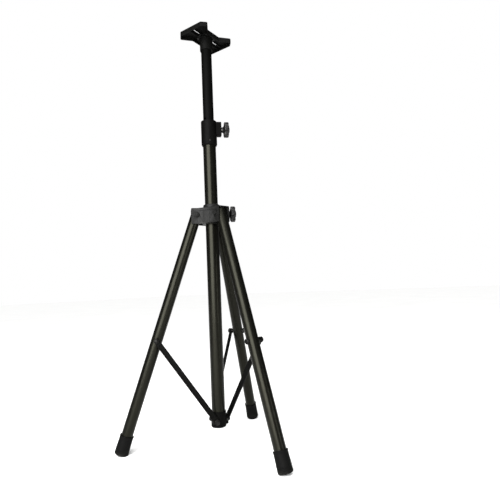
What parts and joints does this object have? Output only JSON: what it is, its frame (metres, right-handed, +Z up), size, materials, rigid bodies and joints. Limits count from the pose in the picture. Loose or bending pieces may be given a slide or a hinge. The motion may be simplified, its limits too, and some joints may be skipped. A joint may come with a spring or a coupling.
{
  "type": "speaker stand",
  "caption": "Folding tripod stand with a sliding hub, side struts, a clamped telescopic mast and a waisted mounting plate on top.",
  "frame": {"origin": "on the floor under the mast's axis, at the level of the three feet", "axes": "+Z up along the mast, +X along the top plate's long axis with the mast unturned; leg 1 lies 15 degrees round from +X towards +Y"},
  "size_m": [0.534, 0.534, 1.337],
  "materials": {
    "tube_paint": "semi-gloss black powder coat",
    "strut_paint": "satin black powder coat",
    "plate_paint": "fine textured black powder coat",
    "moulded_nylon": "matte charcoal",
    "knob_plastic": "satin black",
    "bush_plastic": "smooth black nylon",
    "rubber": "matte black",
    "brass": "plain",
    "black_fasteners": "black oxide",
    "zinc_steel": "zinc plated"
  },
  "bodies": {
    "column": {"outer_mast": "tube_paint", "mast_collar": "moulded_nylon", "collar_bush": "bush_plastic", "collar_insert": "brass", "collar_rivets": "black_fasteners", "bottom_bracket": "moulded_nylon", "bracket_rivets": "black_fasteners", "strut_foot_bolts": "black_fasteners", "bumper": "rubber"},
    "collar_clamp_pad": {"collar_pad": "bush_plastic"},
    "collar_clamp_knob": {"collar_knob": "knob_plastic", "collar_screw": "zinc_steel"},
    "mast_slider": {"mast_foot_bush": "bush_plastic"},
    "mast": {"inner_mast": "tube_paint", "plate_socket": "plate_paint", "socket_screws": "black_fasteners", "top_plate": "plate_paint", "plate_rivets": "black_fasteners"},
    "hub": {"hub_body": "moulded_nylon", "hub_bush": "bush_plastic", "hub_insert": "brass", "leg_pivot_bolts": "black_fasteners", "leg_pivot_nuts": "black_fasteners"},
    "hub_clamp_pad": {"hub_pad": "bush_plastic"},
    "hub_clamp_knob": {"hub_knob": "knob_plastic", "hub_screw": "zinc_steel"},
    "leg_1": {"leg_tube_1": "tube_paint", "leg_plug_1": "bush_plastic", "rubber_foot_1": "rubber", "leg_spacers_1": "black_fasteners", "strut_bolt_1": "black_fasteners"},
    "leg_2": {"leg_tube_2": "tube_paint", "leg_plug_2": "bush_plastic", "rubber_foot_2": "rubber", "leg_spacers_2": "black_fasteners", "strut_bolt_2": "black_fasteners"},
    "leg_3": {"leg_tube_3": "tube_paint", "leg_plug_3": "bush_plastic", "rubber_foot_3": "rubber", "leg_spacers_3": "black_fasteners", "strut_bolt_3": "black_fasteners"},
    "strut_link_1": {"strut_1": "strut_paint", "strut_nut_1": "black_fasteners"},
    "strut_link_2": {"strut_2": "strut_paint", "strut_nut_2": "black_fasteners"},
    "strut_link_3": {"strut_3": "strut_paint", "strut_nut_3": "black_fasteners"}
  },
  "joints": [
    {"name": "hub_slide", "type": "slide", "parent": "column", "child": "hub", "axis": [0, 0, 1], "range_m": [0, 0.07392]},
    {"name": "leg_1_fold", "type": "hinge", "parent": "hub", "child": "leg_1", "pos_m": [0.04917, 0.01317, 0.726], "axis": [-0.2588, 0.9659, 0], "range_deg": [0, 18.8]},
    {"name": "leg_2_fold", "type": "hinge", "parent": "hub", "child": "leg_2", "pos_m": [-0.03599, 0.03599, 0.726], "axis": [-0.7071, -0.7071, 0], "range_deg": [0, 18.8]},
    {"name": "leg_3_fold", "type": "hinge", "parent": "hub", "child": "leg_3", "pos_m": [-0.01317, -0.04917, 0.726], "axis": [0.9659, -0.2588, 0], "range_deg": [0, 18.8]},
    {"name": "strut_1_fold", "type": "hinge", "parent": "column", "child": "strut_link_1", "pos_m": [0.00676, 0.00181, 0.08], "axis": [0.2588, -0.9659, 0], "range_deg": [0, 26.5]},
    {"name": "strut_2_fold", "type": "hinge", "parent": "column", "child": "strut_link_2", "pos_m": [-0.00495, 0.00495, 0.08], "axis": [0.7071, 0.7071, 0], "range_deg": [0, 26.5]},
    {"name": "strut_3_fold", "type": "hinge", "parent": "column", "child": "strut_link_3", "pos_m": [-0.00181, -0.00676, 0.08], "axis": [-0.9659, 0.2588, 0], "range_deg": [0, 26.5]},
    {"name": "mast_slide", "type": "slide", "parent": "column", "child": "mast_slider", "axis": [0, 0, 1], "range_m": [-0.24, 0.45]},
    {"name": "mast_swivel", "type": "hinge", "parent": "mast_slider", "child": "mast", "pos_m": [0, 0, 0.5], "axis": [0, 0, 1], "continuous": true},
    {"name": "collar_pad_slide", "type": "slide", "parent": "column", "child": "collar_clamp_pad", "axis": [0.7071, -0.7071, 0], "range_m": [0, 0.00225]},
    {"name": "collar_knob_turn", "type": "hinge", "parent": "collar_clamp_pad", "child": "collar_clamp_knob", "pos_m": [0.02121, -0.02121, 1.0135], "axis": [0.7071, -0.7071, 0], "range_deg": [0, 540]},
    {"name": "hub_pad_slide", "type": "slide", "parent": "hub", "child": "hub_clamp_pad", "axis": [0.7071, -0.7071, 0], "range_m": [0, 0.00225]},
    {"name": "hub_knob_turn", "type": "hinge", "parent": "hub_clamp_pad", "child": "hub_clamp_knob", "pos_m": [0.02475, -0.02475, 0.729], "axis": [0.7071, -0.7071, 0], "range_deg": [0, 540]}
  ],
  "couplings": [
    {"joint": "leg_1_fold", "follows": "hub_slide", "rad_per_m": 4.4391},
    {"joint": "leg_2_fold", "follows": "hub_slide", "rad_per_m": 4.4391},
    {"joint": "leg_3_fold", "follows": "hub_slide", "rad_per_m": 4.4391},
    {"joint": "strut_1_fold", "follows": "hub_slide", "rad_per_m": 6.2569},
    {"joint": "strut_2_fold", "follows": "hub_slide", "rad_per_m": 6.2569},
    {"joint": "strut_3_fold", "follows": "hub_slide", "rad_per_m": 6.2569},
    {"joint": "collar_knob_turn", "follows": "collar_pad_slide", "rad_per_m": 4188.7},
    {"joint": "hub_knob_turn", "follows": "hub_pad_slide", "rad_per_m": 4188.7}
  ]
}
